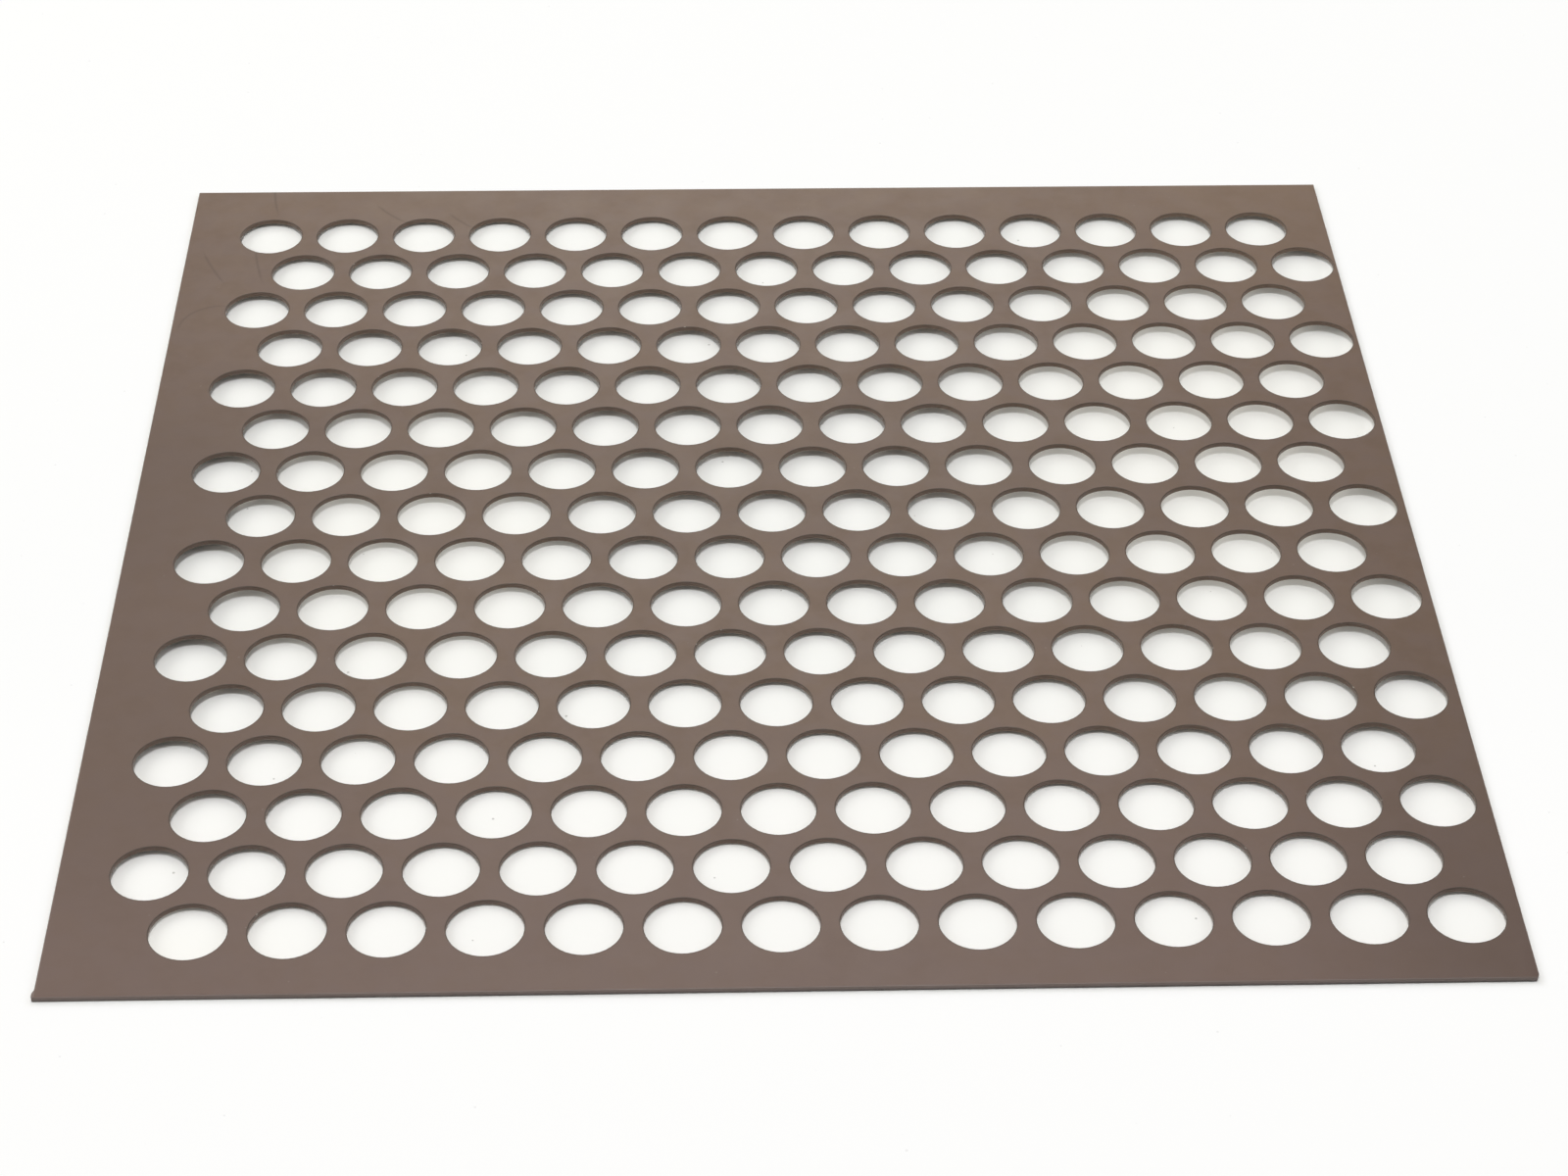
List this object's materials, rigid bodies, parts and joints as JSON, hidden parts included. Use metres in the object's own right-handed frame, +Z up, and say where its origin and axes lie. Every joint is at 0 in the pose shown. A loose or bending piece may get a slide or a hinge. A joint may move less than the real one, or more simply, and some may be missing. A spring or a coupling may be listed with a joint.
{
  "type": "perforated metal sheet",
  "caption": "Flat square metal sheet with a brown coating, punched all over with round holes in staggered rows inside a plain border.",
  "frame": {"origin": "middle of the sheet's underside, on the plane that it lies on", "axes": "+X along the rows of holes, towards the side with the narrower border; +Y from the near edge to the far edge; +Z up, out of the face that the holes were punched from"},
  "size_m": [0.3, 0.3, 0.0012],
  "materials": {
    "powder_coat": "satin brown powder coat"
  },
  "bodies": {
    "root": {"sheet": "powder_coat"}
  },
  "joints": []
}
